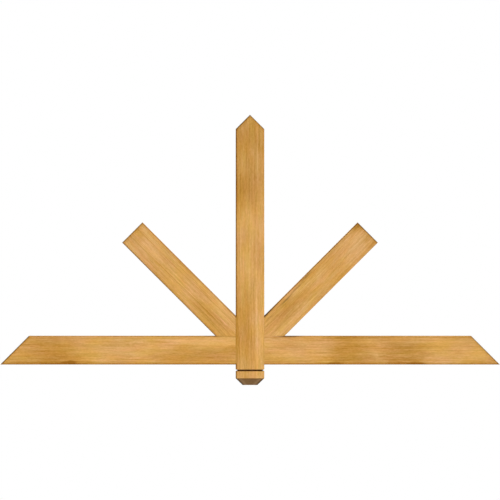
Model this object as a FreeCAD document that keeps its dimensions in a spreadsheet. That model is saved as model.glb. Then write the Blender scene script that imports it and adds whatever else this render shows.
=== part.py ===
import FreeCAD, Part
import Sketcher
import math
import os
import re

# A decorative gable truss for a roof that rises as far as it runs, in millimetres, +Z up.
# Its back is the plane y = 0, its front faces -Y, and its member centre lines meet at the origin.

doc = FreeCAD.newDocument("gable_truss")

# Driving sizes, each with what it measures
SIZES = (
    ("span", "2438.4", "tip to tip along the underside of the tie beam"),
    ("roof_angle", "45", "slope of the roof that the cut ends follow, in degrees"),
    ("strut_angle", "45", "rise of each strut from level, in degrees"),
    ("timber_depth", "88.9", "every member from front to back"),
    ("tie_face", "139.7", "height of the tie beam"),
    ("post_face", "139.7", "width of the king post"),
    ("strut_face", "139.7", "width of each strut across its grain"),
    ("groove_below_tie", "28.05", "tie beam underside to the centre of the V-groove"),
    ("groove_opening", "10.0", "mouth of the V-groove"),
    ("groove_depth", "11.6", "V-groove from the timber face to its root"),
    ("foot_block", "38.9", "centre of the V-groove to the slopes of the pendant foot"),
    ("foot_flat", "21.5", "flat underneath the pendant foot, from front to back"),
    ("edge_radius", "6.35", "rounding of every exposed edge"),
    ("glue_line", "0.2", "between two glued faces"),
    ("dowel_diameter", "19.0", "hidden dowel"),
    ("dowel_length", "100.0", "hidden dowel, half in the tie beam and half in the strut"),
    ("dowel_spacing", "40.0", "between the two dowels of one strut"),
    ("dowel_bevel", "2.0", "lead-in at both dowel ends"),
    ("flute_width", "2.4", "glue flute along a dowel"),
    ("dowel_fit", "0.15", "dowel to the wall of its hole"),
    ("dowel_end_room", "3.0", "dowel end to the bottom of its hole"),
    ("screw_spacing", "70.0", "between lap screws, across and up"),
    ("screw_head", "12.0", "diameter of the flat head"),
    ("head_rim", "0.8", "straight rim of the flat head"),
    ("head_sink", "1.0", "flat head below the back of the tie beam"),
    ("screw_shank", "6.0", "diameter of the plain shank"),
    ("shank_short", "2.0", "end of the plain shank before the joint"),
    ("screw_core", "4.4", "diameter under the thread"),
    ("screw_point", "6.0", "length of the tapered point"),
    ("screw_cover", "15.0", "timber in front of the screw point"),
    ("screw_fit", "0.15", "screw to the wall of its hole"),
    ("drive_width", "3.4", "square recess from side to side"),
    ("drive_depth", "2.8", "square recess"),
)

# Sizes that follow from the driving ones
FOLLOWING = (
    ("apex_height", "span / 2 * tan(roof_angle) - tie_face / 2"),
    ("shoulder_height", "apex_height - post_face / 2 * tan(roof_angle)"),
    ("tie_top_reach", "span / 2 - tie_face / tan(roof_angle)"),
    ("strut_half_rise", "strut_face / 2 / cos(strut_angle)"),
    ("head_upper_reach", "(apex_height - strut_half_rise) / (tan(strut_angle) + tan(roof_angle))"),
    ("head_lower_reach", "(apex_height + strut_half_rise) / (tan(strut_angle) + tan(roof_angle))"),
    ("strut_post_side", "post_face / 2 + glue_line"),
    ("strut_seat", "tie_face / 2 + glue_line"),
    ("seat_reach", "(strut_seat + strut_half_rise) / tan(strut_angle)"),
    ("seat_middle", "(strut_post_side + seat_reach) / 2"),
    ("groove_level", "-tie_face / 2 - groove_below_tie"),
    ("foot_slope", "(timber_depth - foot_flat) / 2"),
    ("foot_level", "groove_level - foot_block - foot_slope"),
    ("foot_radius", "min(edge_radius; foot_flat; post_face - 2 * foot_slope)"),
    ("lap_half", "timber_depth / 2"),
    ("dowel_hole", "dowel_length / 2 + dowel_end_room"),
    ("flute_count", "floor(pi * dowel_diameter / (4 * flute_width))"),
    ("screw_tip", "timber_depth - screw_cover"),
)

sheet = doc.addObject("Spreadsheet::Sheet", "Sizes")
for row, (alias, value, meaning) in enumerate(SIZES, start=1):
    sheet.set(f"A{row}", meaning)
    sheet.set(f"B{row}", value)
    sheet.setAlias(f"B{row}", alias)
for row, (alias, formula) in enumerate(FOLLOWING, start=len(SIZES) + 2):
    sheet.set(f"B{row}", "=" + formula)
    sheet.setAlias(f"B{row}", alias)
doc.recompute()
NAMES = {entry[0] for entry in SIZES + FOLLOWING}


def size(alias):
    return float(sheet.get(alias))


def sized(formula):
    return re.sub(r"[a-z_]+", lambda word: "Sizes." + word[0] if word[0] in NAMES else word[0], formula)


def bind(thing, prop, formula):
    thing.setExpression(prop, sized(formula))


# Sketches whose points are placed by formulas, and the features that use them
def new_sketch(body, name, plane, offset=None):
    sketch = body.newObject("Sketcher::SketchObject", name)
    support = next(item for item in body.Origin.OriginFeatures if item.Role == plane)
    sketch.AttachmentSupport = (support, "")
    sketch.MapMode = "FlatFace"
    if offset:
        bind(sketch, "AttachmentOffset.Base.z", offset)
    return sketch


def place_point(sketch, geometry, point, name, across, up):
    here = sketch.getPoint(geometry, point)
    for kind, start, formula in (("DistanceX", here.x, across), ("DistanceY", here.y, up)):
        number = sketch.addConstraint(Sketcher.Constraint(kind, -1, 1, geometry, point, start))
        label = name + ("_across" if kind == "DistanceX" else "_up")
        sketch.renameConstraint(number, label)
        bind(sketch, "Constraints." + label, formula)


def draw_outline(sketch, corners):
    first = sketch.GeometryCount
    count = len(corners)
    ring = [FreeCAD.Vector(50 * math.cos(math.tau * i / count), 50 * math.sin(math.tau * i / count), 0)
            for i in range(count)]
    for i in range(count):
        sketch.addGeometry(Part.LineSegment(ring[i], ring[(i + 1) % count]))
    for i in range(count):
        sketch.addConstraint(Sketcher.Constraint("Coincident", first + i, 2, first + (i + 1) % count, 1))
    for i, (name, across, up) in enumerate(corners):
        place_point(sketch, first + i, 1, name, across, up)


def draw_circle(sketch, name, across, up, diameter):
    number = sketch.addGeometry(Part.Circle(FreeCAD.Vector(10, 10, 0), FreeCAD.Vector(0, 0, 1), 5))
    place_point(sketch, number, 3, name, across, up)
    rule = sketch.addConstraint(Sketcher.Constraint("Diameter", number, 10))
    sketch.renameConstraint(rule, name + "_diameter")
    bind(sketch, f"Constraints.{name}_diameter", diameter)


def mirrored(corners):
    return [(name + "_left", f"-({across})", up) for name, across, up in reversed(corners)]


def make_feature(body, kind, name, sketch, length=None):
    feature = body.newObject("PartDesign::" + kind, name)
    feature.Profile = sketch
    if length:
        bind(feature, "Length", length)
    return feature


def cut_away(body, name, sketch, length=None, reverse=False):
    before = body.Shape.Volume
    pocket = make_feature(body, "Pocket", name, sketch, length)
    pocket.Reversed = reverse
    if length is None:
        pocket.Type = "ThroughAll"
        pocket.SideType = "Symmetric"
    doc.recompute()
    if not pocket.Shape.Volume < before - 1:
        raise RuntimeError(name + " removed nothing")
    return pocket


def saw_timber(name, corners):
    body = doc.addObject("PartDesign::Body", name)
    sketch = new_sketch(body, name + "_outline", "XZ_Plane")
    draw_outline(sketch, corners)
    make_feature(body, "Pad", name + "_pad", sketch, "timber_depth")
    doc.recompute()
    return body


def edge_names(shape, wanted):
    return [f"Edge{i}" for i, edge in enumerate(shape.Edges, start=1)
            if wanted([vertex.Point for vertex in edge.Vertexes])]


def level(values, at):
    return all(abs(value - at) < 0.01 for value in values)


def dress_edges(body, kind, name, prop, formula, wanted):
    base = body.Tip
    feature = body.newObject("PartDesign::" + kind, name)
    feature.Base = (base, edge_names(base.Shape, wanted))
    bind(feature, prop, formula)
    doc.recompute()
    return feature


# Corners of the right half, from the apex round to the foot of the pendant
APEX = ("apex", "0", "apex_height")
SHOULDER = ("shoulder", "post_face / 2", "shoulder_height")
CROOK = ("crook", "post_face / 2", "post_face / 2 * tan(strut_angle) + strut_half_rise")
HEAD_UPPER = ("head_upper", "head_upper_reach", "head_upper_reach * tan(strut_angle) + strut_half_rise")
HEAD_LOWER = ("head_lower", "head_lower_reach", "head_lower_reach * tan(strut_angle) - strut_half_rise")
SEAT_END = ("seat_end", "(tie_face / 2 + strut_half_rise) / tan(strut_angle)", "tie_face / 2")
TIE_SHOULDER = ("tie_shoulder", "tie_top_reach", "tie_face / 2")
TIE_TIP = ("tie_tip", "span / 2", "-tie_face / 2")
PENDANT_ROOT = ("pendant_root", "post_face / 2", "-tie_face / 2")
FOOT = ("foot", "post_face / 2", "foot_level")

# The whole truss in one outline, with every exposed edge eased as it is after assembly
RIGHT_SIDE = [SHOULDER, CROOK, HEAD_UPPER, HEAD_LOWER, SEAT_END, TIE_SHOULDER, TIE_TIP, PENDANT_ROOT, FOOT]
eased = saw_timber("eased_outline", [APEX] + RIGHT_SIDE + mirrored(RIGHT_SIDE))


def around_a_face(points):
    depths = [point.y for point in points]
    return level(depths, 0) or level(depths, -size("timber_depth"))


dress_edges(eased, "Fillet", "eased_edges", "Radius", "edge_radius", around_a_face)


def ease(name, blank):
    piece = doc.addObject("Part::Common", name)
    piece.Base = blank
    piece.Tool = eased
    doc.recompute()
    return piece


# Places of the dowels and of the lap screws
DOWEL_ROWS = [("front", "-timber_depth / 2 - dowel_spacing / 2"),
              ("back", "-timber_depth / 2 + dowel_spacing / 2")]
SCREW_PLACES = [(f"{side}_{row}", f"{across} * screw_spacing / 2", f"{up} * screw_spacing / 2")
                for side, across in (("left", -1), ("right", 1)) for row, up in (("lower", -1), ("upper", 1))]


# King post: pointed head, housing for the tie beam in its back half, V-groove above a sloped foot
post_side = [SHOULDER, FOOT]
post = saw_timber("king_post_blank", [APEX] + post_side + mirrored(post_side))
foot_level = size("foot_level")
dress_edges(post, "Chamfer", "foot_slopes", "Size", "foot_slope",
            lambda points: level([point.z for point in points], foot_level))
dress_edges(post, "Fillet", "eased_foot", "Radius", "foot_radius",
            lambda points: min(point.z for point in points) < foot_level + 0.01)

housing = new_sketch(post, "tie_housing_outline", "XZ_Plane")
housing_corner = ("upper", "post_face", "tie_face / 2 + glue_line")
housing_below = ("lower", "post_face", "-tie_face / 2 - glue_line")
draw_outline(housing, [housing_corner, housing_below] + mirrored([housing_corner, housing_below]))
cut_away(post, "tie_housing", housing, "lap_half + glue_line / 2", reverse=True)


def draw_vee(sketch, name, face, inward):
    draw_outline(sketch, [(name + "_above", face, "groove_level + groove_opening / 2"),
                          (name + "_root", f"{face} {inward} groove_depth", "groove_level"),
                          (name + "_below", face, "groove_level - groove_opening / 2")])


side_vees = new_sketch(post, "side_groove_profile", "XZ_Plane")
draw_vee(side_vees, "right", "post_face / 2", "-")
draw_vee(side_vees, "left", "-post_face / 2", "+")
cut_away(post, "side_grooves", side_vees)
face_vees = new_sketch(post, "face_groove_profile", "YZ_Plane")
draw_vee(face_vees, "back", "0", "-")
draw_vee(face_vees, "front", "-timber_depth", "+")
cut_away(post, "face_grooves", face_vees)

pilots = new_sketch(post, "screw_pilot_places", "XZ_Plane")
for place, across, up in SCREW_PLACES:
    draw_circle(pilots, place, across, up, "screw_core + 2 * screw_fit")
cut_away(post, "screw_pilots", pilots, "screw_tip + screw_fit", reverse=True)


# Tie beam: one length with both ends cut to the roof, housed for the post in its front half
tie_side = [TIE_SHOULDER, TIE_TIP]
tie = saw_timber("tie_beam_blank", tie_side + mirrored(tie_side))

housing = new_sketch(tie, "post_housing_outline", "XZ_Plane", "timber_depth")
housing_corner = ("upper", "post_face / 2 + glue_line", "tie_face")
housing_below = ("lower", "post_face / 2 + glue_line", "-tie_face")
draw_outline(housing, [housing_corner, housing_below] + mirrored([housing_corner, housing_below]))
cut_away(tie, "post_housing", housing, "timber_depth - lap_half + glue_line / 2")

dowel_places = new_sketch(tie, "tie_dowel_places", "XY_Plane", "tie_face / 2")
for row, depth in DOWEL_ROWS:
    draw_circle(dowel_places, "right_" + row, "seat_middle", depth, "dowel_diameter + 2 * dowel_fit")
    draw_circle(dowel_places, "left_" + row, "-seat_middle", depth, "dowel_diameter + 2 * dowel_fit")
cut_away(tie, "tie_dowel_holes", dowel_places, "dowel_hole")

screw_places = new_sketch(tie, "screw_hole_places", "XZ_Plane")
for place, across, up in SCREW_PLACES:
    draw_circle(screw_places, place, across, up, "screw_shank + 2 * screw_fit")
doc.recompute()
tie_volume = tie.Shape.Volume
screw_holes = tie.newObject("PartDesign::Hole", "screw_holes")
screw_holes.Profile = screw_places
screw_holes.Reversed = True
screw_holes.DepthType = "ThroughAll"
screw_holes.HoleCutType = "Countersink"
screw_holes.HoleCutCustomValues = True
screw_holes.HoleCutCountersinkAngle = 90
bind(screw_holes, "Diameter", "screw_shank + 2 * screw_fit")
bind(screw_holes, "HoleCutDiameter", "screw_head + 2 * screw_fit + 2 * head_sink + 2 * head_rim")
doc.recompute()
if not screw_holes.Shape.Volume < tie_volume - 1:
    raise RuntimeError("screw_holes removed nothing")


# Struts: outer end cut to the roof, lower end cut to a point that seats on the tie beam and against the post
def make_strut(side, sign):
    corners = [("point", "strut_post_side", "strut_seat"),
               ("crook", "strut_post_side", "strut_post_side * tan(strut_angle) + strut_half_rise"),
               HEAD_UPPER, HEAD_LOWER,
               ("seat_end", "seat_reach", "strut_seat")]
    placed = [(name, f"{sign} * ({across})", up) for name, across, up in corners]
    strut = saw_timber(side + "_strut_blank", placed)
    places = new_sketch(strut, side + "_strut_dowel_places", "XY_Plane", "strut_seat")
    for row, depth in DOWEL_ROWS:
        draw_circle(places, row, f"{sign} * seat_middle", depth, "dowel_diameter + 2 * dowel_fit")
    cut_away(strut, side + "_strut_dowel_holes", places, "dowel_hole", reverse=True)
    return strut


pieces = [ease("king_post", post), ease("tie_beam", tie)]
pieces += [ease("left_strut", make_strut("left", -1)), ease("right_strut", make_strut("right", 1))]


# Repeats one fastener at each of its places and gathers the copies under one name
def set_out(name, original, places):
    copies = []
    for place, across, depth, up in places:
        copy = doc.addObject("App::Link", f"{name}_{place}")
        copy.LinkedObject = original
        bind(copy, "Placement.Base.x", across)
        bind(copy, "Placement.Base.y", depth)
        bind(copy, "Placement.Base.z", up)
        copies.append(copy)
    group = doc.addObject("Part::Compound", name)
    group.Links = copies
    doc.recompute()
    return group


# Strut dowels: hardwood, fluted for glue and bevelled at both ends
dowel = doc.addObject("PartDesign::Body", "dowel")
dowel_round = new_sketch(dowel, "dowel_round", "XY_Plane", "-dowel_length / 2")
draw_circle(dowel_round, "dowel", "0", "0", "dowel_diameter")
make_feature(dowel, "Pad", "dowel_rod", dowel_round, "dowel_length")
doc.recompute()
dress_edges(dowel, "Chamfer", "dowel_bevels", "Size", "dowel_bevel",
            lambda points: len({round(point.z, 3) for point in points}) == 1)
flute_round = new_sketch(dowel, "flute_round", "XY_Plane")
draw_circle(flute_round, "flute", "dowel_diameter / 2 + flute_width / 4", "0", "flute_width")
flute = cut_away(dowel, "flute", flute_round)
flutes = dowel.newObject("PartDesign::PolarPattern", "flutes")
flutes.Originals = [flute]
flutes.Axis = (flute_round, ["N_Axis"])
flutes.Angle = 360
bind(flutes, "Occurrences", "flute_count")
dowel.Tip = flutes
doc.recompute()

DOWEL_LEVEL = "tie_face / 2 + glue_line / 2"
pieces.append(set_out("strut_dowels", dowel, [
    (f"{side}_{row}", f"{sign} * seat_middle", depth, DOWEL_LEVEL)
    for side, sign in (("left", -1), ("right", 1)) for row, depth in DOWEL_ROWS]))


# Lap screws: flat head with a square recess, plain shank through the tie beam, pointed core in the post
screw = doc.addObject("PartDesign::Body", "screw")
screw_half = new_sketch(screw, "screw_half", "XY_Plane")
draw_outline(screw_half, [
    ("crown", "0", "-head_sink"),
    ("rim_top", "screw_head / 2", "-head_sink"),
    ("rim_base", "screw_head / 2", "-head_sink - head_rim"),
    ("neck", "screw_shank / 2", "-head_sink - head_rim - (screw_head - screw_shank) / 2"),
    ("shank_end", "screw_shank / 2", "-lap_half + shank_short"),
    ("core_start", "screw_core / 2", "-lap_half + shank_short"),
    ("core_end", "screw_core / 2", "-screw_tip + screw_point"),
    ("tip", "0", "-screw_tip"),
])
turned = make_feature(screw, "Revolution", "screw_turned", screw_half)
turned.ReferenceAxis = (screw_half, ["V_Axis"])
turned.Angle = 360
doc.recompute()
drive_square = new_sketch(screw, "drive_square", "XZ_Plane", "head_sink")
drive_side = [("upper", "drive_width / 2", "drive_width / 2"),
              ("lower", "drive_width / 2", "-drive_width / 2")]
draw_outline(drive_square, drive_side + mirrored(drive_side))
cut_away(screw, "drive_recess", drive_square, "drive_depth", reverse=True)

pieces.append(set_out("lap_screws", screw, [(place, across, "0", up) for place, across, up in SCREW_PLACES]))


# Every object must be sound before the pieces are written
for thing in doc.Objects:
    if "Invalid" in thing.State or "Error" in thing.State:
        raise RuntimeError(thing.Label + " did not recompute")
os.makedirs("parts", exist_ok=True)
for piece in pieces:
    if piece.Shape.isNull() or not piece.Shape.isValid():
        raise RuntimeError(piece.Label + " has no sound shape")
    piece.Shape.exportStep(f"parts/{piece.Label}.step")
    print(piece.Label, len(piece.Shape.Solids), "solids", round(piece.Shape.Volume / 1000), "cm3")
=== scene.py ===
import bpy
import math
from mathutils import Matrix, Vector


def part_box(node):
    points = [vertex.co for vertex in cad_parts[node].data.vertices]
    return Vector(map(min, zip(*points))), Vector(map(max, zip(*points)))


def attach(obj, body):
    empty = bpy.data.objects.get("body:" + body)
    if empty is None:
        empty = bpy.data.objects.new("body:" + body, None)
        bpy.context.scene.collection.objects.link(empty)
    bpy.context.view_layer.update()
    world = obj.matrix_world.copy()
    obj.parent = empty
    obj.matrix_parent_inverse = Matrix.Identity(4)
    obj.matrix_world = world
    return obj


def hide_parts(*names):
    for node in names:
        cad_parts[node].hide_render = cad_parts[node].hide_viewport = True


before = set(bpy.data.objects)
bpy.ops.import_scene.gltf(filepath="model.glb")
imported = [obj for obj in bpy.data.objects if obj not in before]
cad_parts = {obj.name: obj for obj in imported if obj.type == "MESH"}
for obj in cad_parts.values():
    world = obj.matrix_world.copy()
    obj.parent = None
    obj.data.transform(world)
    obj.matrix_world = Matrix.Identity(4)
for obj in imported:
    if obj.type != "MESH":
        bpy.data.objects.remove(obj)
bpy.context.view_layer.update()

# Tie beam: one level length of planed softwood, both ends sawn to the roof slope and every edge eased.
# Its front is housed for the king post, so that the two finish flush, and it is stained honey gold.
tie_low, tie_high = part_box("tie_beam")
TIMBER_DEPTH = tie_high.y - tie_low.y
TIMBER_FACE = tie_high.z - tie_low.z
ROOF_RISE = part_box("king_post")[1].z
EDGE_RADIUS = 0.00635
RING_WIDTH = 0.0034
HONEY_TONES = [
    (0.00, (0.300, 0.118, 0.006)),
    (0.25, (0.470, 0.226, 0.036)),
    (0.50, (0.632, 0.338, 0.094)),
    (0.75, (0.805, 0.468, 0.178)),
    (1.00, (0.930, 0.600, 0.300)),
]
GOLDEN_CAST = (1.0, 1.0, 0.80)
PALE_CAST = (1.0, 1.0, 1.20)
RED_CAST = (1.022, 0.978, 1.0)
GREEN_CAST = (0.978, 1.022, 1.0)
# Darkening of the eased edges: stain, with painted shade heavier on the side turned from the light
EDGE_STAIN_AND_SHADE = (0.56, 0.44, 0.22)
# Near-black painted shade for crooks and upper edges, where shade falls
PAINTED_SHADE_COLOUR = (0.030, 0.014, 0.005)
END_GRAIN = (0.160, 0.080, 0.021)
END_RINGS = (0.072, 0.033, 0.008)
END_WARMTH = (1.0, 0.88, 0.35)


class Field:
    """A number, colour or place that varies over a piece, held as one socket of a sheet of nodes."""

    def __init__(self, sheet, socket):
        self.sheet = sheet
        self.socket = socket

    def reckon(self, operation, *values):
        return self.sheet.node("ShaderNodeMath", {"operation": operation}, dict(enumerate(values)))

    def __add__(self, other):
        return self.reckon("ADD", self, other)

    def __radd__(self, other):
        return self.reckon("ADD", other, self)

    def __sub__(self, other):
        return self.reckon("SUBTRACT", self, other)

    def __rsub__(self, other):
        return self.reckon("SUBTRACT", other, self)

    def __mul__(self, other):
        return self.reckon("MULTIPLY", self, other)

    def __rmul__(self, other):
        return self.reckon("MULTIPLY", other, self)

    def __truediv__(self, other):
        return self.reckon("DIVIDE", self, other)

    def __rtruediv__(self, other):
        return self.reckon("DIVIDE", other, self)

    def __pow__(self, other):
        return self.reckon("POWER", self, other)

    def __abs__(self):
        return self.reckon("ABSOLUTE", self)

    def fraction(self):
        return self.reckon("FRACT", self)

    def least(self, other):
        return self.reckon("MINIMUM", self, other)

    def most(self, other):
        return self.reckon("MAXIMUM", self, other)

    def eased(self, low, high):
        """0 below low, 1 above high, with a soft turn at both ends."""
        sockets = {"Value": self, "From Min": low, "From Max": high}
        return self.sheet.node("ShaderNodeMapRange", {"interpolation_type": "SMOOTHSTEP"}, sockets)


class Sheet:
    """A sheet of nodes, for a finish or for a pattern of pieces."""

    def __init__(self, tree):
        self.tree = tree

    def node(self, kind, settings, sockets, output=0):
        """One node with its settings and sockets. What it gives comes back as a field."""
        made = self.tree.nodes.new(kind)
        for name, value in settings.items():
            if name == "stops":
                self.set_stops(made.color_ramp, value)
            else:
                setattr(made, name, value)
        for name, value in sockets.items():
            self.feed(self.find(made.inputs, name), value)
        return Field(self, self.find(made.outputs, output)) if made.outputs else made

    def find(self, sockets, name):
        if isinstance(name, int):
            return sockets[name]
        return next(s for s in sockets if name in (s.identifier, s.name))

    def feed(self, socket, value):
        if isinstance(value, list):
            for one in value:
                self.feed(socket, one)
        elif isinstance(value, Field):
            self.tree.links.new(value.socket, socket)
        elif socket.type == "RGBA":
            socket.default_value = (*value, 1.0)
        else:
            socket.default_value = value

    def set_stops(self, ramp, stops):
        while len(ramp.elements) < len(stops):
            ramp.elements.new(0.5)
        for element, (position, colour) in zip(ramp.elements, stops):
            element.position = position
            element.color = (*colour, 1.0)

    def vector(self, operation, first, second, output="Vector"):
        return self.node("ShaderNodeVectorMath", {"operation": operation}, {0: first, 1: second}, output)

    def axes(self, place):
        split = self.node("ShaderNodeSeparateXYZ", {}, {"Vector": place})
        return [Field(self, socket) for socket in split.socket.node.outputs]


class Finish(Sheet):
    """The nodes of one material, from the place on the piece to its shader."""

    def __init__(self, name):
        self.material = bpy.data.materials.new(name)
        self.material.use_nodes = True
        Sheet.__init__(self, self.material.node_tree)
        self.shader = next(n for n in self.tree.nodes if n.type == "BSDF_PRINCIPLED")
        self.place = self.node("ShaderNodeTexCoord", {}, {}, "Object")
        self.facing = self.node("ShaderNodeTexCoord", {}, {}, "Normal")

    def surface(self, **sockets):
        for name, value in sockets.items():
            self.feed(self.shader.inputs[name.replace("_", " ")], value)

    def mix(self, factor, first, second, blend="MIX"):
        settings = {"data_type": "RGBA", "blend_type": blend}
        sockets = {"Factor_Float": factor, "A_Color": first, "B_Color": second}
        return self.node("ShaderNodeMix", settings, sockets, "Result_Color")

    def bump(self, height, strength, distance):
        sockets = {"Strength": strength, "Distance": distance, "Height": height}
        return self.node("ShaderNodeBump", {}, sockets, "Normal")

    def noise(self, place, along, across, detail=2.0):
        """Cloudy noise about 0, with so many turns to the metre along the grain and across it."""
        spot = self.vector("MULTIPLY", place, (along, across, across))
        sockets = {"Vector": spot, "Scale": 1.0, "Detail": detail, "Roughness": 0.55}
        return self.node("ShaderNodeTexNoise", {"noise_dimensions": "3D"}, sockets, "Fac") - 0.5

    def stripes(self, way):
        """Uneven bands about 0, one for each whole step of the number given."""
        sockets = {"W": way, "Scale": 1.0, "Detail": 2.0, "Roughness": 0.6}
        return self.node("ShaderNodeTexNoise", {"noise_dimensions": "1D"}, sockets, "Fac") - 0.5

    def patch(self, place, along, across, length, width):
        """1 in the middle of a soft patch, 0 at its length and width from there and beyond."""
        off = self.vector("SUBTRACT", place, (along, 0.0, across))
        off = self.vector("MULTIPLY", off, (1 / length, 0.0, 1 / width))
        return 1.0 - self.vector("LENGTH", off, (0.0, 0.0, 0.0), "Value").eased(0.0, 1.0)


def planed_timber(name, turn, heart, drift, edge_stain_and_shade, clouds_and_shade_bands, shade_patches=()):
    """Solid wood. Turn lays the length on X, and drift makes the figure of each timber its own.

    Heart is how far the middle of the tree lies across and behind the centre line of the back.
    The three edge numbers say how dark the edge left of the length and the edge right of it turn, by stain
    with painted shade laid heavier on the side away from the light, and how much stain the sawn ends keep.
    Clouds lighten or darken the stain, and a few long dark bands among them are painted shade along an edge
    turned from the light. Patches of near-black painted shade cover the colour where shade falls in crooks
    and on upper edges.
    Each gives its middle along and across the timber, its length and width from there, and its strength.
    """
    finish = Finish(name)
    heart_across, heart_depth = heart
    left_edge_stain_and_shade, right_edge_stain_and_shade, end_hold = edge_stain_and_shade
    laid = {"Vector": finish.place, "Rotation": (0.0, turn, 0.0)}
    lie = finish.node("ShaderNodeMapping", {"vector_type": "POINT"}, laid)
    _, depth, across = finish.axes(lie)
    board = finish.vector("ADD", lie, drift)
    length_way = (math.cos(turn), 0.0, math.sin(turn))
    faces_end = abs(finish.vector("DOT_PRODUCT", finish.facing, length_way, "Value"))
    faces_out = abs(finish.vector("DOT_PRODUCT", finish.facing, (0.0, 1.0, 0.0), "Value"))

    # Growth rings round the heart, in bands of good years and lean ones. The heart wanders on its way along
    heart_wander = 0.020
    bands_to_metre = 110.0
    wander = finish.noise(board, along=1.2, across=6.0, detail=1.0) * heart_wander
    swayed = finish.vector("ADD", board, (3.1, 0.7, 1.9))
    sway = finish.noise(swayed, along=1.0, across=5.0, detail=1.0) * heart_wander
    reach_across = across - heart_across + wander
    reach_depth = depth - heart_depth + sway
    radius = (reach_across * reach_across + reach_depth * reach_depth) ** 0.5
    year = finish.stripes(radius * bands_to_metre + drift[0])
    ripple = finish.noise(board, along=6.0, across=60.0)
    rings = radius / RING_WIDTH + year * 1.3 + ripple * 0.8
    latewood = rings.fraction() ** 3.0

    # Streaks, fibres and pores drawn out along the grain, and each one's share in the tone of the stain
    streak = finish.noise(board, along=9.0, across=130.0)
    grain = finish.noise(board, along=28.0, across=260.0)
    fibre = finish.noise(board, along=45.0, across=900.0)
    mottle = finish.noise(board, along=5.0, across=14.0)
    blotch = finish.noise(board, along=80.0, across=170.0)
    pores = finish.noise(board, along=90.0, across=2200.0, detail=1.0).eased(0.14, 0.24)
    middle_tone = 0.53
    tone = middle_tone + year * 0.28 + streak * 0.36 + grain * 0.32 + fibre * 0.22
    tone = tone + mottle * 0.16 + blotch * 0.24 - latewood * 0.20 - pores * 0.10

    # Soft clouds in the stain, frayed along the grain; a few long dark ones are painted shade along an edge
    # away from the light
    fray = {"X": finish.noise(board, along=9.0, across=40.0) * 0.16, "Z": mottle * 0.06}
    frayed = finish.vector("ADD", lie, finish.node("ShaderNodeCombineXYZ", {}, fray))
    for middle_along, middle_across, length, width, strength in clouds_and_shade_bands:
        tone = tone + finish.patch(frayed, middle_along, middle_across, length, width) * strength

    # The tone darkens towards the long edges and the roof cuts
    long_edge_band = 0.018
    roof_cut_band = 0.020
    to_long_edge = TIMBER_FACE / 2 - abs(across)
    to_face = TIMBER_DEPTH / 2 - abs(depth + TIMBER_DEPTH / 2)
    nearest = to_long_edge * faces_out + to_face * (1.0 - faces_out)
    tone = tone - (1.0 - nearest.eased(0.0, long_edge_band)) * 0.07
    room_x, _, room_z = finish.axes(finish.place)
    to_roof = (ROOF_RISE - abs(room_x) - room_z) * math.sqrt(0.5)
    tone = tone - (1.0 - to_roof.eased(0.002, roof_cut_band)) * faces_out * 0.12
    colour = finish.node("ShaderNodeValToRGB", {"stops": HONEY_TONES}, {"Fac": tone}, "Color")

    # The stain's hue shifts slowly between golden and pale, and between green and red
    hue_reach = 0.227
    pale_place = finish.vector("ADD", board, (7.7, 2.3, 5.9))
    red_place = finish.vector("ADD", board, (2.9, 8.1, 3.7))
    paler = finish.noise(pale_place, along=7.0, across=18.0).eased(-hue_reach, hue_reach)
    redder = finish.noise(red_place, along=8.0, across=44.0).eased(-hue_reach, hue_reach)
    colour = finish.mix(1.0, colour, finish.mix(paler, GOLDEN_CAST, PALE_CAST), "MULTIPLY")
    colour = finish.mix(1.0, colour, finish.mix(redder, GREEN_CAST, RED_CAST), "MULTIPLY")

    # Eased edges darken half way round: stain, with painted shade laid heavier on the side turned from the
    # light.
    # Patches of near-black painted shade lie in the crooks and along some upper edges, where shade falls.
    rounded = faces_out * (1.0 - faces_out * faces_out).most(0.0) ** 0.5 * 2.0
    eased_edge = rounded * (1.0 - to_face.eased(EDGE_RADIUS * 0.9, EDGE_RADIUS * 1.3))
    edge_darkening = right_edge_stain_and_shade + across.eased(-0.01, 0.01) * (left_edge_stain_and_shade - right_edge_stain_and_shade)
    end_grain = faces_end.eased(0.0, 0.65)
    edge_darkened = finish.mix(1.0, colour, EDGE_STAIN_AND_SHADE, "MULTIPLY")
    colour = finish.mix(eased_edge * (1.0 - end_grain) * edge_darkening, colour, edge_darkened)
    # Painted shade in the crooks and along upper edges, where shade falls
    for middle_along, middle_across, length, width, strength in shade_patches:
        shade_patch = finish.patch(lie, middle_along, middle_across, length, width)
        colour = finish.mix(shade_patch * strength, colour, PAINTED_SHADE_COLOUR)
    finish.planed_colour = colour

    # Sawn ends drink more stain than planed faces, and show rings, rays and short checks round the heart
    end_strength = 0.90
    round_heart = reach_depth.reckon("ARCTAN2", reach_depth, reach_across)
    rays = finish.stripes(round_heart * 900.0)
    check_lines = finish.stripes(round_heart * 60.0 + drift[1]).eased(0.17, 0.22)
    checks = check_lines * (mottle + streak * 0.5).eased(0.02, 0.10)
    saw_marks = finish.stripes((across + depth * 0.22) * 700.0)
    end_tone = 0.05 + latewood * 0.7 + year * 0.7 + streak * 0.5 + rays * 0.6 + checks
    sawn = finish.mix(end_tone.most(0.0).least(1.0), END_GRAIN, END_RINGS)
    sawn = finish.mix(eased_edge, sawn, finish.mix(1.0, sawn, END_WARMTH, "MULTIPLY"))
    held_at_ends = end_hold + (1.0 - eased_edge) * (end_strength - end_hold)
    finish.colour = finish.mix(end_grain * held_at_ends, colour, sawn)

    # The plane leaves the hard latewood proud and the pores open, and the saw leaves its marks on the ends
    relief = fibre * 0.5 + latewood * 0.35 - pores * 0.6 + streak * 0.3
    relief = relief + end_grain * (saw_marks * 1.2 - checks * 2.0)
    finish.roughness = 0.58 - latewood * 0.10 + end_grain * 0.2 + fibre * 0.15
    finish.surface(Base_Color=finish.colour, Roughness=finish.roughness, Specular_IOR_Level=0.14,
                   Normal=finish.bump(relief, strength=0.25, distance=0.0006))
    return finish


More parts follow.
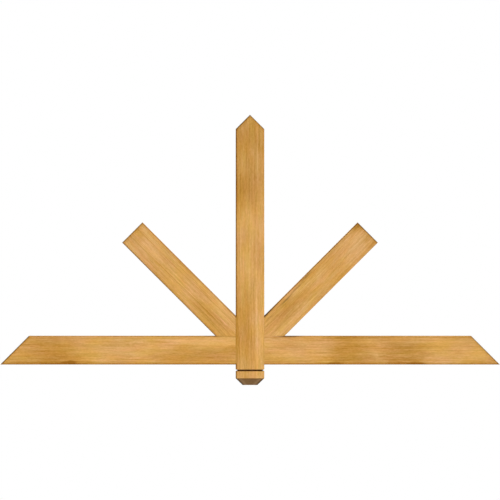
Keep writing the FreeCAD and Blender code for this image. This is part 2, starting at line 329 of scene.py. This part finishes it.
tie_clouds_and_shade = [
    (-1.130, 0.000, 0.160, 0.120, -0.06),
    (-0.950, -0.010, 0.220, 0.200, -0.22),
    (-0.865, -0.064, 0.055, 0.014, -0.30),
    (-0.530, 0.020, 0.100, 0.100, 0.08),
    (-0.260, -0.024, 0.340, 0.056, -0.17),
    (-0.240, 0.035, 0.260, 0.042, 0.15),
    (-0.080, -0.015, 0.140, 0.060, -0.08),
    # Painted shade: a long dark band along the tie's bottom edge, which faces down, away from the light
    (0.000, -0.072, 6.000, 0.032, -0.11),
    (0.180, -0.050, 0.140, 0.050, 0.09),
    (0.200, 0.040, 0.100, 0.060, -0.05),
    (0.430, -0.062, 0.060, 0.026, -0.28),
    (0.490, -0.010, 0.170, 0.220, -0.22),
    (0.635, -0.020, 0.050, 0.100, 0.08),
    (0.660, 0.050, 0.100, 0.070, -0.13),
    (0.760, -0.030, 0.180, 0.140, -0.22),
    (0.825, -0.062, 0.060, 0.026, -0.28),
]
# Painted shade on the tie's top edge beside each strut's foot, in the crook where shade falls
tie_shade_patches = [
    (0.190, 0.0700, 0.095, 0.0100, 0.85),
    (-0.175, 0.0700, 0.080, 0.0080, 0.40),
]
tie_finish = planed_timber("honey_tie_timber", turn=0.0, heart=(-0.13, 0.05), drift=(0.0, 0.0, 0.0),
                           edge_stain_and_shade=(0.14, 0.52, 0.90), clouds_and_shade_bands=tie_clouds_and_shade, shade_patches=tie_shade_patches)
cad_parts["tie_beam"].material_slots[0].material = tie_finish.material

# King post: one upright length, its head pointed to both roof slopes, its back housed over the tie beam.
# A V-groove is routed round the pendant, with painted shade in its lower half, and the foot is sawn to four
# slopes.
FOOT_FLAT = 0.0215
FOOT_BLOCK = 0.0389
GROOVE_MOUTH = 0.0100
FOOT_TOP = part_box("king_post")[0].z + (TIMBER_DEPTH - FOOT_FLAT) / 2
GROOVE_LEVEL = FOOT_TOP + FOOT_BLOCK
# Near-black painted shade for the groove
GROOVE_SHADE = (0.050, 0.012, 0.0005)
# Painted shade for the foot, whose slopes all face down
FOOT_SHADE = (0.195, 0.112, 0.052)
# Painted highlight beside the foot's hips, and painted shade along them
FOOT_HIP_HIGHLIGHT = (0.300, 0.185, 0.092)
FOOT_HIP_SHADE = (0.060, 0.038, 0.016)
post_clouds_and_shade = [
    (0.080, 0.062, 0.300, 0.040, -0.18),
    (0.080, 0.012, 0.320, 0.045, -0.17),
    (0.100, -0.050, 0.400, 0.050, 0.08),
    (0.400, 0.000, 0.130, 0.080, 0.13),
    # Painted shade: a long dark band down the post's left edge, away from the light from the right
    (0.500, 0.072, 1.500, 0.024, -0.10),
    (0.620, 0.010, 0.120, 0.140, 0.07),
    (0.810, 0.030, 0.180, 0.140, -0.19),
    (1.030, 0.000, 0.160, 0.200, -0.15),
]
post_finish = planed_timber("honey_post_timber", turn=math.radians(90), heart=(0.13, 0.03),
                            drift=(5.1, 3.3, 0.9), edge_stain_and_shade=(0.95, 0.25, 0.90), clouds_and_shade_bands=post_clouds_and_shade)
post_x, post_y, post_z = post_finish.axes(post_finish.place)
side_inset = TIMBER_FACE / 2 - abs(post_x)
face_inset = TIMBER_DEPTH / 2 - abs(post_y + TIMBER_DEPTH / 2)
inset = side_inset.least(face_inset)
above = (post_z - GROOVE_LEVEL) / (GROOVE_MOUTH / 2)
in_groove = inset.eased(0.0002, 0.0008) * (1.0 - abs(above).eased(1.00, 1.06))
# Painted shade in the lower half of the groove, deepest towards its root, where shade falls
groove_shade = in_groove * (1.0 - above.eased(0.0, 0.5)) * inset.eased(0.0003, 0.0030)
on_foot = 1.0 - post_z.eased(FOOT_TOP - 0.004, FOOT_TOP)
hip_wobble = post_finish.noise(post_finish.place, along=60.0, across=60.0) * 0.006
from_hip = abs(side_inset - face_inset) + hip_wobble
hip_shade = on_foot * (1.0 - from_hip.eased(0.002, 0.012))
hip_highlight = on_foot * from_hip.eased(0.008, 0.016) * (1.0 - from_hip.eased(0.018, 0.034))
post_colour = post_finish.mix(in_groove, post_finish.colour, post_finish.planed_colour)
# Painted shade darkens the whole foot, whose slopes face down, over the stain its end grain takes
post_colour = post_finish.mix(on_foot * 0.45, post_colour, FOOT_SHADE)
# Painted highlight in a band beside each hip of the foot
post_colour = post_finish.mix(hip_highlight * 0.5, post_colour, FOOT_HIP_HIGHLIGHT)
# Painted shade in a dark line along each hip of the foot
post_colour = post_finish.mix(hip_shade * 0.85, post_colour, FOOT_HIP_SHADE)
post_colour = post_finish.mix(groove_shade * 0.97, post_colour, GROOVE_SHADE)
post_finish.surface(Base_Color=post_colour, Roughness=post_finish.roughness + groove_shade * 0.4)
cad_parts["king_post"].material_slots[0].material = post_finish.material

# Lap screws: four bronze-coated steel screws with flat heads and square recesses, driven from the back.
# They are rolled with a coarse thread, and draw the tie beam and the king post together at the lap.
SCREW_SPACING = 0.070
HEAD_RADIUS = 0.0060
HEAD_RIM = 0.0008
SHANK_RADIUS = 0.0030
SHANK_SHORT_OF_LAP = 0.0020
SHOULDER = 0.00105
CORE_RADIUS = 0.0022
POINT_LENGTH = 0.0060
THREAD_MIDDLE = 0.0023
THREAD_MARGIN = 0.0002
CUTTER_PROUD = 0.0005
SHARP_TURN = math.radians(32)
COAT_DARK = (0.125, 0.088, 0.040)
COAT_PALE = (0.230, 0.165, 0.080)
BARE_STEEL = (0.46, 0.44, 0.40)
screw_low, screw_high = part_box("lap_screws")
head_face = screw_high.y
screw_tip = screw_low.y
neck = head_face - HEAD_RIM - (HEAD_RADIUS - SHANK_RADIUS)
shank_end = SHANK_SHORT_OF_LAP - TIMBER_DEPTH / 2
core_start = shank_end - SHOULDER
core_end = screw_tip + POINT_LENGTH
screw_profile = [
    (head_face, HEAD_RADIUS),
    (head_face - HEAD_RIM, HEAD_RADIUS),
    (neck, SHANK_RADIUS),
    (shank_end, SHANK_RADIUS),
    (core_start, CORE_RADIUS),
    (core_end, CORE_RADIUS),
    (screw_tip + 0.0004, 0.0006),
    (screw_tip, 0.0001),
]


class Pattern(Sheet):
    """Geometry nodes that turn a line of radii into a round piece and set copies of it out on a grid."""

    def __init__(self, name, sizes):
        self.group = bpy.data.node_groups.new(name, "GeometryNodeTree")
        Sheet.__init__(self, self.group)
        self.group.interface.new_socket("Line", in_out="INPUT", socket_type="NodeSocketGeometry")
        self.sizes = {}
        for size_name, value in sizes.items():
            kind = "NodeSocketInt" if isinstance(value, int) else "NodeSocketFloat"
            socket = self.group.interface.new_socket(size_name, in_out="INPUT", socket_type=kind)
            self.sizes[socket.identifier] = value
        self.group.interface.new_socket("Pieces", in_out="OUTPUT", socket_type="NodeSocketGeometry")
        self.given = self.tree.nodes.new("NodeGroupInput")

    def size(self, name):
        return Field(self, self.given.outputs[name])

    def circle(self, points, radius):
        sockets = {"Resolution": points, "Radius": radius}
        return self.node("GeometryNodeCurvePrimitiveCircle", {"mode": "RADIUS"}, sockets)

    def swept(self, curve, section, **scale):
        sockets = {"Curve": curve, "Profile Curve": section, "Fill Caps": True, **scale}
        return self.node("GeometryNodeCurveToMesh", {}, sockets)

    def turned(self, section):
        """The section drawn along the line and brought to its radius at each point of it."""
        line = self.node("GeometryNodeMeshToCurve", {}, {"Mesh": self.size("Line")})
        sockets = {"Name": "turned_radius"}
        radius = self.node("GeometryNodeInputNamedAttribute", {"data_type": "FLOAT"}, sockets)
        return self.swept(line, section, Scale=radius)

    def moved(self, geometry, place=(0.0, 0.0, 0.0), turn=(0.0, 0.0, 0.0)):
        sockets = {"Geometry": geometry, "Translation": place, "Rotation": turn}
        return self.node("GeometryNodeTransform", {}, sockets)

    def four_corners(self, width, length):
        sockets = {"Size X": width, "Size Y": length, "Vertices X": 2, "Vertices Y": 2}
        return self.node("GeometryNodeMeshGrid", {}, sockets)

    def set_out(self, piece, spots, material):
        """Copies on the spots, smooth but for the edges that turn sharply."""
        copies = self.node("GeometryNodeInstanceOnPoints", {}, {"Points": spots, "Instance": piece})
        copies = self.node("GeometryNodeRealizeInstances", {}, {"Geometry": copies})
        turn = self.node("GeometryNodeInputMeshEdgeAngle", {}, {}, "Unsigned Angle")
        gentle = self.node("FunctionNodeCompare", {"operation": "LESS_THAN"}, {0: turn, 1: SHARP_TURN})
        sockets = {0: copies, "Shade Smooth": gentle}
        copies = self.node("GeometryNodeSetShadeSmooth", {"domain": "EDGE"}, sockets)
        copies = self.node("GeometryNodeSetMaterial", {}, {"Geometry": copies, "Material": material})
        self.node("NodeGroupOutput", {}, {"Pieces": copies})

    def make(self, name, profile, way):
        """The pieces as one plain mesh, from (place on the line, radius) pairs along a direction."""
        mesh = bpy.data.meshes.new(name)
        points = [tuple(place * part for part in way) for place, radius in profile]
        mesh.from_pydata(points, [(i, i + 1) for i in range(len(points) - 1)], [])
        radii = mesh.attributes.new("turned_radius", "FLOAT", "POINT")
        radii.data.foreach_set("value", [radius for place, radius in profile])
        piece = bpy.data.objects.new(name, mesh)
        bpy.context.scene.collection.objects.link(piece)
        modifier = piece.modifiers.new("pattern", "NODES")
        modifier.node_group = self.group
        for identifier, value in self.sizes.items():
            modifier[identifier] = value
        evaluated = piece.evaluated_get(bpy.context.evaluated_depsgraph_get())
        plain = bpy.data.meshes.new_from_object(evaluated)
        piece.modifiers.remove(modifier)
        piece.data = plain
        return piece


screw_finish = Finish("bronze_screw_coating")
screw_x, screw_y, screw_z = screw_finish.axes(screw_finish.place)
off_x = abs(screw_x) - SCREW_SPACING / 2
off_z = abs(screw_z) - SCREW_SPACING / 2
from_axis = (off_x * off_x + off_z * off_z) ** 0.5
cloudy = screw_finish.noise(screw_finish.place, along=420.0, across=420.0, detail=3.0)
speckle = screw_finish.noise(screw_finish.place, along=2600.0, across=2600.0)
at_head = screw_y.eased(-0.0030, -0.0012)
at_drive = 1.0 - abs(off_x).most(abs(off_z)).eased(0.0015, 0.0023)
rubbed_rim = at_head * from_axis.eased(0.0053, HEAD_RADIUS) * (0.4 + cloudy * 1.6)
rubbed_drive = at_head * at_drive * (0.7 + cloudy)
bright = (rubbed_rim + rubbed_drive).least(1.0).most(0.0)
coat = screw_finish.mix((0.5 + cloudy * 1.6).eased(0.0, 1.0), COAT_DARK, COAT_PALE)
coat = screw_finish.mix(bright, coat, BARE_STEEL)
screw_finish.surface(Base_Color=coat, Metallic=0.35 + bright * 0.6,
                     Roughness=0.46 + cloudy * 0.25 + speckle * 0.15 - bright * 0.12,
                     Normal=screw_finish.bump(speckle, strength=0.2, distance=0.0001))

screws = Pattern("lap_screw_pattern", {
    "Spacing": SCREW_SPACING,
    "Drive Width": 0.0034,
    "Drive Depth": 0.0028,
    "Thread Pitch": 0.0026,
    "Thread Height": 0.0008,
    "Sides": 40,
})
blank = screws.turned(screws.circle(screws.size("Sides"), 1.0))
recess = screws.node("GeometryNodeMeshCone", {}, {
    "Vertices": 4,
    "Radius Top": screws.size("Drive Width") * 0.60,
    "Radius Bottom": screws.size("Drive Width") * 0.72,
    "Depth": screws.size("Drive Depth") + CUTTER_PROUD,
})
recess_turn = (math.radians(90), math.radians(45), 0.0)
recess = screws.moved(recess, (0.0, head_face + CUTTER_PROUD, 0.0), recess_turn)
cut = {"Mesh 1": blank, "Mesh 2": recess}
blank = screws.node("GeometryNodeMeshBoolean", {"operation": "DIFFERENCE"}, cut, "Mesh")
thread_length = core_start - core_end - 2 * THREAD_MARGIN
helix = screws.node("GeometryNodeCurveSpiral", {}, {
    "Resolution": 24,
    "Rotations": thread_length / screws.size("Thread Pitch"),
    "Start Radius": THREAD_MIDDLE,
    "End Radius": THREAD_MIDDLE,
    "Height": thread_length,
})
thread = screws.swept(helix, screws.circle(3, screws.size("Thread Height")))
thread = screws.moved(thread, (0.0, core_start - THREAD_MARGIN, 0.0), (math.radians(90), 0.0, 0.0))
screw = screws.node("GeometryNodeJoinGeometry", {}, {"Geometry": [blank, thread]})
corners = screws.four_corners(screws.size("Spacing"), screws.size("Spacing"))
corners = screws.moved(corners, turn=(math.radians(90), 0.0, 0.0))
screws.set_out(screw, corners, screw_finish.material)
lap_screws = screws.make("coated_lap_screws", screw_profile, (0.0, 1.0, 0.0))
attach(lap_screws, "root")
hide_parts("lap_screws")

# Strut dowels: four fluted hardwood dowels, two standing under each strut, along the middle of its seat.
# They are turned, bevelled and glued half into the tie beam and half into the strut, out of sight.
DOWEL_RADIUS = 0.0095
DOWEL_BEVEL = 0.0020
DOWEL_DARK = (0.440, 0.290, 0.150)
DOWEL_PALE = (0.640, 0.470, 0.285)
DOWEL_FLECK = (0.270, 0.150, 0.065)
DOWEL_END = (0.300, 0.180, 0.085)
dowel_low, dowel_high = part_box("strut_dowels")
dowel_profile = [
    (dowel_low.z, DOWEL_RADIUS - DOWEL_BEVEL),
    (dowel_low.z + DOWEL_BEVEL, DOWEL_RADIUS),
    (dowel_high.z - DOWEL_BEVEL, DOWEL_RADIUS),
    (dowel_high.z, DOWEL_RADIUS - DOWEL_BEVEL),
]
strut_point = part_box("right_strut")[0]
seat_end = strut_point.z + TIMBER_FACE / math.sqrt(2)

dowel_finish = Finish("pale_dowel_wood")
dowel_long = dowel_finish.vector("MULTIPLY", dowel_finish.place, (1.0, 1.0, 0.06))
dowel_grain = dowel_finish.noise(dowel_long, along=900.0, across=900.0, detail=3.0)
dowel_flecks = dowel_finish.noise(dowel_long, along=2600.0, across=2600.0, detail=1.0).eased(0.12, 0.22)
dowel_end = abs(dowel_finish.axes(dowel_finish.facing)[2]).eased(0.3, 0.9)
dowel_colour = dowel_finish.mix((0.5 + dowel_grain * 2.0).eased(0.0, 1.0), DOWEL_DARK, DOWEL_PALE)
dowel_colour = dowel_finish.mix(dowel_flecks * 0.5, dowel_colour, DOWEL_FLECK)
dowel_colour = dowel_finish.mix(dowel_end * 0.6, dowel_colour, DOWEL_END)
dowel_finish.surface(Base_Color=dowel_colour, Roughness=0.60 + dowel_grain * 0.3,
                     Normal=dowel_finish.bump(dowel_grain, strength=0.25, distance=0.0003))

dowels = Pattern("strut_dowel_pattern", {
    "Apart": strut_point.x + seat_end,
    "Pair Spacing": dowel_high.y - dowel_low.y - 2 * DOWEL_RADIUS,
    "Flute Depth": 0.085,
    "Flutes": 6,
    "Sides": 96,
})
spot = dowels.node("GeometryNodeInputPosition", {}, {})
spot_x, spot_y, _ = dowels.axes(spot)
angle = spot_y.reckon("ARCTAN2", spot_y, spot_x)
valley = angle.reckon("COSINE", angle * dowels.size("Flutes")).most(0.0) ** 6.0
drawn_in = dowels.node("ShaderNodeVectorMath", {"operation": "SCALE"}, {
    0: spot,
    "Scale": 1.0 - valley * dowels.size("Flute Depth"),
})
fluted = dowels.node("GeometryNodeSetPosition", {}, {
    "Geometry": dowels.circle(dowels.size("Sides"), 1.0),
    "Position": drawn_in,
})
seats = dowels.four_corners(dowels.size("Apart"), dowels.size("Pair Spacing"))
seats = dowels.moved(seats, (0.0, -TIMBER_DEPTH / 2, 0.0))
dowels.set_out(dowels.turned(fluted), seats, dowel_finish.material)
strut_dowels = dowels.make("fluted_strut_dowels", dowel_profile, (0.0, 0.0, 1.0))
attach(strut_dowels, "root")
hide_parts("strut_dowels")

# Struts: two slanting lengths, their outer ends sawn square to their own length, along the roof.
# Each foot is sawn to a right-angled point, glued to the post and seated on the tie beam over its dowels.
right_clouds = [
    (0.260, -0.055, 0.160, 0.045, 0.07),
    (0.270, 0.010, 0.170, 0.055, -0.16),
    (0.330, 0.046, 0.100, 0.034, 0.10),
    (0.500, 0.000, 0.120, 0.100, 0.05),
    (0.700, 0.000, 0.140, 0.160, 0.10),
    (0.800, 0.000, 0.060, 0.200, -0.06),
    (0.800, 0.062, 0.050, 0.030, -0.25),
]
# Painted shade on the right strut's upper edge, darkest in the crook by the post
right_shade_patches = [
    (0.1686, 0.0700, 0.130, 0.0125, 1.00),
    (0.3000, 0.0485, 0.060, 0.0060, 0.55),
    (0.3750, 0.0530, 0.060, 0.0060, 0.34),
    (0.4500, 0.0600, 0.060, 0.0070, 0.45),
    (0.1800, 0.0440, 0.040, 0.0070, 0.25),
]
right_finish = planed_timber("honey_right_timber", turn=math.radians(45), heart=(0.14, 0.02),
                             drift=(1.7, 5.2, 8.8), edge_stain_and_shade=(0.80, 0.45, 0.90),
                             clouds_and_shade_bands=right_clouds, shade_patches=right_shade_patches)
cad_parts["right_strut"].material_slots[0].material = right_finish.material
left_clouds = [
    (0.270, 0.025, 0.190, 0.060, -0.16),
    (0.280, -0.045, 0.180, 0.050, 0.10),
    (0.500, 0.000, 0.120, 0.100, 0.03),
    (0.720, 0.010, 0.140, 0.160, 0.07),
    (0.800, 0.000, 0.060, 0.200, -0.05),
]
# Painted shade, light, on the left strut's upper edge in the crook by the post
left_shade_patches = [(0.1686, -0.0700, 0.100, 0.0070, 0.25)]
left_finish = planed_timber("honey_left_timber", turn=math.radians(135), heart=(-0.13, 0.04),
                            drift=(4.9, 9.6, 2.7), edge_stain_and_shade=(0.70, 0.95, 0.30),
                            clouds_and_shade_bands=left_clouds, shade_patches=left_shade_patches)
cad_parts["left_strut"].material_slots[0].material = left_finish.material

# Studio: a pale floor well below the truss, which hangs by its back, under soft light from the right.
# The camera faces the front of the truss squarely from far off, and sees plain white behind it.
FLOOR_LEVEL = -0.90
FLOOR_RADIUS = 3.0
FLOOR_SIDES = 96
FLOOR_GREY = (0.86, 0.86, 0.86)
WHITE = (1.0, 1.0, 1.0)
WHITE_UNDER_TRUSS = 0.35
AMBIENT = 0.22
LENS = 400.0
FRAME_WIDTH = 2.4395
EYE_LEVEL = 0.4892


def background_seen(sheet):
    """1 where the background is looked at, straight on, in a reflection or through a clear piece."""
    looking = sheet.node("ShaderNodeLightPath", {}, {}, "Is Camera Ray")
    mirrored = sheet.node("ShaderNodeLightPath", {}, {}, "Is Glossy Ray")
    through = sheet.node("ShaderNodeLightPath", {}, {}, "Is Transmission Ray")
    return looking.most(mirrored).most(through)


rim_turns = [math.tau * step / FLOOR_SIDES for step in range(FLOOR_SIDES)]
rim = [(FLOOR_RADIUS * math.cos(t), FLOOR_RADIUS * math.sin(t), FLOOR_LEVEL) for t in rim_turns]
floor_mesh = bpy.data.meshes.new("studio_floor")
floor_mesh.from_pydata(rim, [], [tuple(range(FLOOR_SIDES))])
floor = bpy.data.objects.new("studio_floor", floor_mesh)
bpy.context.scene.collection.objects.link(floor)
floor_finish = Finish("pale_floor")
floor_finish.surface(Base_Color=FLOOR_GREY, Roughness=0.9)
floor_x, floor_y, _ = floor_finish.axes(floor_finish.place)
from_middle = (floor_x * floor_x + floor_y * floor_y) ** 0.5
towards_rim = from_middle.eased(FLOOR_RADIUS * 0.40, FLOOR_RADIUS * 0.97)
whiteness = WHITE_UNDER_TRUSS + towards_rim * (1.0 - WHITE_UNDER_TRUSS)
white = floor_finish.node("ShaderNodeEmission", {}, {"Color": WHITE, "Strength": 1.0})
pale = Field(floor_finish, floor_finish.shader.outputs[0])
share = background_seen(floor_finish) * whiteness
blend = floor_finish.node("ShaderNodeMixShader", {}, {0: share, 1: pale, 2: white})
ground = next(n for n in floor_finish.tree.nodes if n.type == "OUTPUT_MATERIAL")
floor_finish.feed(ground.inputs["Surface"], blend)
floor_mesh.materials.append(floor_finish.material)

world = bpy.data.worlds.new("white_studio")
bpy.context.scene.world = world
world.use_nodes = True
world.node_tree.nodes.clear()
sky = Sheet(world.node_tree)
level = AMBIENT + background_seen(sky) * (1.0 - AMBIENT)
backdrop = sky.node("ShaderNodeBackground", {}, {"Color": WHITE, "Strength": level})
sky.node("ShaderNodeOutputWorld", {}, {"Surface": backdrop})


def softbox(name, round_to_right, up, share, spread):
    """A far, broad light. Share is how much of full white it gives a face turned squarely to it."""
    lamp = bpy.data.lights.new(name, "SUN")
    lamp.energy = share * math.pi
    lamp.angle = math.radians(spread)
    holder = bpy.data.objects.new(name, lamp)
    bpy.context.scene.collection.objects.link(holder)
    holder.rotation_euler = (math.radians(90 - up), 0.0, math.radians(round_to_right))


softbox("key_from_the_right", round_to_right=45, up=10, share=0.94, spread=25)
softbox("fill_from_above", round_to_right=0, up=85, share=0.20, spread=60)
softbox("fill_behind", round_to_right=215, up=30, share=0.60, spread=50)

camera_data = bpy.data.cameras.new("camera")
camera_data.lens = LENS
camera_data.clip_end = 200.0
camera = bpy.data.objects.new("camera", camera_data)
bpy.context.scene.collection.objects.link(camera)
camera_distance = FRAME_WIDTH * LENS / camera_data.sensor_width
camera.location = (0.0, -TIMBER_DEPTH - camera_distance, EYE_LEVEL)
camera.rotation_euler = (math.radians(90), 0.0, 0.0)
bpy.context.scene.camera = camera
bpy.context.scene.view_settings.view_transform = "Standard"
